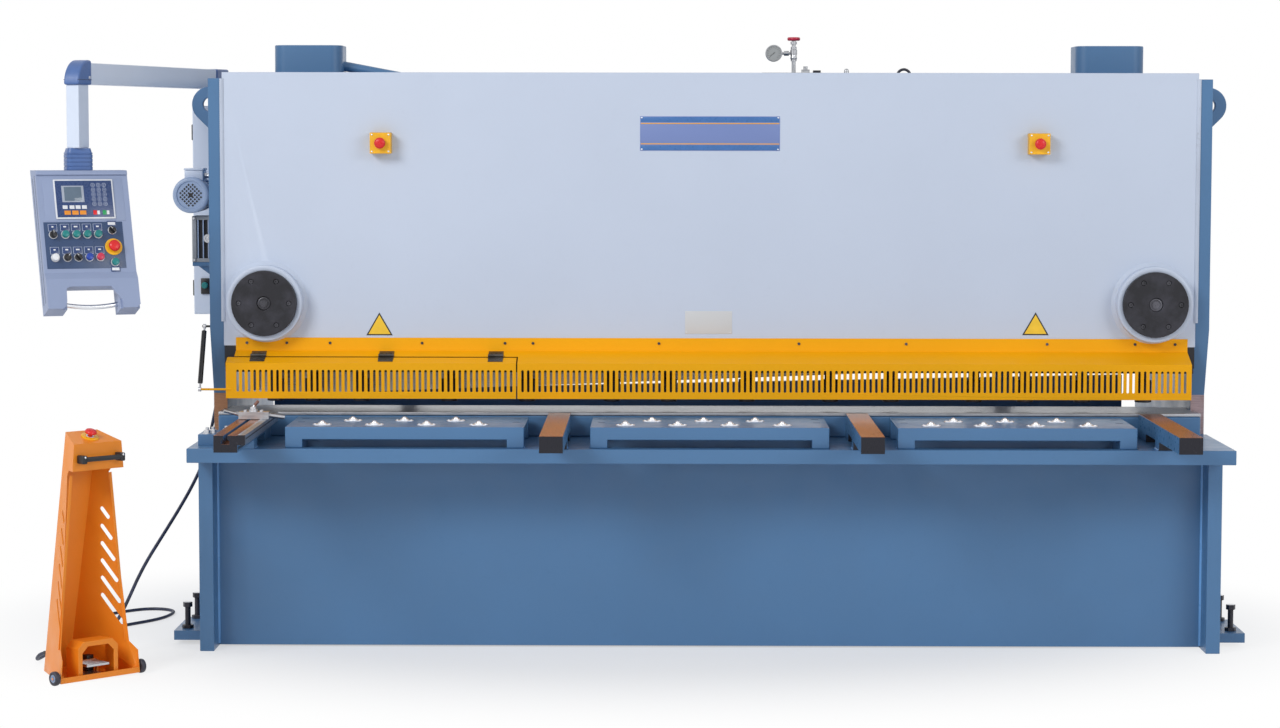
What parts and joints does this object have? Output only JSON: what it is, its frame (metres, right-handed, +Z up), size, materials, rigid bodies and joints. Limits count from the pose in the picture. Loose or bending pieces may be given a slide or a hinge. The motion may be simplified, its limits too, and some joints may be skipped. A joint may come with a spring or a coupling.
{
  "type": "hydraulic guillotine shear",
  "caption": "Free-standing hydraulic plate shear with raked blade, slotted guard with a hinged section, support arms, swivelling control pendant and foot pedal stand.",
  "frame": {"origin": "on the floor, in the middle of the eight levelling screws", "axes": "+Z up, +X to the operator's right, -Y towards the operator"},
  "size_m": [4.2776, 2.3634, 2.184],
  "materials": {
    "frame_blue": "satin",
    "panel_white": "satin",
    "guard_yellow": "satin",
    "stand_orange": "satin",
    "bright_steel": "brushed",
    "dark_steel": "matt",
    "cast_black": "satin",
    "chrome": "polished",
    "panel_grey": "satin",
    "arm_light": "satin",
    "motor_grey": "satin",
    "button_red": "gloss",
    "box_yellow": "satin",
    "control_mix": "satin",
    "black_plastic": "matt",
    "cable_dark": "matt",
    "wheel_rubber": "matt"
  },
  "bodies": {
    "machine": {"ball_units": "chrome", "base_front_plate": "frame_blue", "bed_beam": "frame_blue", "bed_plate": "bright_steel", "chute": "frame_blue", "cover_pipe": "frame_blue", "cross_members": "frame_blue", "cylinder_covers": "frame_blue", "cylinders": "dark_steel", "electrical_cabinet": "arm_light", "estop_boxes": "box_yellow", "fan_motor": "motor_grey", "finned_reducer": "cast_black", "foot_plates": "frame_blue", "front_panel": "panel_white", "gauge_fittings": "bright_steel", "guard_fixed": "guard_yellow", "guard_hinges": "dark_steel", "guide_covers": "cast_black", "hold_down_beam": "panel_white", "left_side_frame": "frame_blue", "levelling_screws": "dark_steel", "lower_blade": "bright_steel", "oil_tank": "frame_blue", "panel_end_blocks": "cast_black", "pedal_cable": "cable_dark", "ram_guides": "bright_steel", "right_side_frame": "frame_blue", "sheet_pads": "frame_blue", "squaring_arm": "dark_steel", "stand_handle": "black_plastic", "stand_hood": "stand_orange", "stand_shell": "stand_orange", "support_arms": "dark_steel", "table_plate": "frame_blue"},
    "ram": {"ram_beam": "panel_white", "upper_blade": "bright_steel", "cylinder_rods": "chrome"},
    "backgauge": {"backgauge_bar": "frame_blue"},
    "hold_downs": {"hold_down_plungers": "bright_steel"},
    "guard_section": {"guard_door": "guard_yellow", "door_hinge_leaves": "dark_steel"},
    "guard_strut": {"strut_tube": "cast_black"},
    "guard_strut_rod": {"strut_rod": "bright_steel"},
    "flip_stop": {"flip_stop": "bright_steel"},
    "panel_estop_left": {"estop_button_left": "button_red"},
    "panel_estop_right": {"estop_button_right": "button_red"},
    "valve_wheel": {"valve_handwheel": "button_red"},
    "pendant_arm": {"pendant_tubes": "arm_light", "pendant_elbows": "panel_grey"},
    "pendant": {"pendant_coupling": "panel_grey", "pendant_housing": "panel_grey", "pendant_handle": "chrome", "pendant_controls": "control_mix"},
    "pendant_estop": {"pendant_estop": "button_red"},
    "stand_pedal": {"foot_pedal": "bright_steel"},
    "stand_estop": {"stand_estop": "button_red"},
    "stand_wheel_left": {"stand_wheel_left": "wheel_rubber"},
    "stand_wheel_right": {"stand_wheel_right": "wheel_rubber"}
  },
  "joints": [
    {"name": "ram_stroke", "type": "slide", "parent": "machine", "child": "ram", "axis": [0, 0, -1], "range_m": [0, 0.17]},
    {"name": "backgauge_travel", "type": "slide", "parent": "ram", "child": "backgauge", "axis": [0, 1, 0], "range_m": [-0.42, 0.32]},
    {"name": "hold_down_stroke", "type": "slide", "parent": "machine", "child": "hold_downs", "axis": [0, 0, -1], "range_m": [0, 0.025]},
    {"name": "guard_hinge", "type": "hinge", "parent": "machine", "child": "guard_section", "pos_m": [0, -0.6514, 1.03188], "axis": [-1, 0, 0], "range_deg": [0, 60]},
    {"name": "strut_top_eye", "type": "hinge", "parent": "machine", "child": "guard_strut", "pos_m": [-1.824, -0.57, 1.13], "axis": [-1, 0, 0], "range_deg": [0, 31]},
    {"name": "strut_low_eye", "type": "hinge", "parent": "guard_section", "child": "guard_strut_rod", "pos_m": [-1.824, -0.698, 0.912], "axis": [-1, 0, 0], "range_deg": [-31, 0]},
    {"name": "flip_stop_slide", "type": "slide", "parent": "machine", "child": "flip_stop", "axis": [0, 1, 0], "range_m": [-0.5, 0.17]},
    {"name": "panel_estop_left_press", "type": "slide", "parent": "machine", "child": "panel_estop_left", "axis": [0, 1, 0], "range_m": [0, 0.006], "stiffness_N_per_m": 300},
    {"name": "panel_estop_right_press", "type": "slide", "parent": "machine", "child": "panel_estop_right", "axis": [0, 1, 0], "range_m": [0, 0.006], "stiffness_N_per_m": 300},
    {"name": "valve_wheel_turn", "type": "hinge", "parent": "machine", "child": "valve_wheel", "pos_m": [0.317, -0.2, 2.178], "axis": [0, 0, 1], "continuous": true},
    {"name": "pendant_arm_swing", "type": "hinge", "parent": "machine", "child": "pendant_arm", "pos_m": [-1.885, 0.18, 2.032], "axis": [0, 0, -1], "range_deg": [-6, 100]},
    {"name": "pendant_swivel", "type": "hinge", "parent": "pendant_arm", "child": "pendant", "pos_m": [-2.2, -0.95, 1.74], "axis": [0, 0, 1], "range_deg": [-90, 90]},
    {"name": "pendant_estop_press", "type": "slide", "parent": "pendant", "child": "pendant_estop", "axis": [-0.3822, 0.8585, -0.342], "range_m": [0, 0.006], "stiffness_N_per_m": 300},
    {"name": "pedal_press", "type": "hinge", "parent": "machine", "child": "stand_pedal", "pos_m": [-2.11494, -1.39819, 0.049], "axis": [0.6959, 0.7181, 0], "range_deg": [0, 12], "stiffness_Nm_per_rad": 4, "springref_deg": -34.38},
    {"name": "stand_estop_press", "type": "slide", "parent": "machine", "child": "stand_estop", "axis": [-0.2432, 0.2357, -0.9409], "range_m": [0, 0.006], "stiffness_N_per_m": 300},
    {"name": "stand_wheel_left_roll", "type": "hinge", "parent": "machine", "child": "stand_wheel_left", "pos_m": [-2.17645, -1.57949, 0.024], "axis": [0.6959, 0.7181, 0], "continuous": true},
    {"name": "stand_wheel_right_roll", "type": "hinge", "parent": "machine", "child": "stand_wheel_right", "pos_m": [-1.93566, -1.33102, 0.024], "axis": [0.6959, 0.7181, 0], "continuous": true}
  ],
  "couplings": [
    {"joint": "strut_top_eye", "follows": "guard_hinge", "ratio": 0.5017},
    {"joint": "strut_low_eye", "follows": "guard_hinge", "ratio": -0.4983}
  ]
}
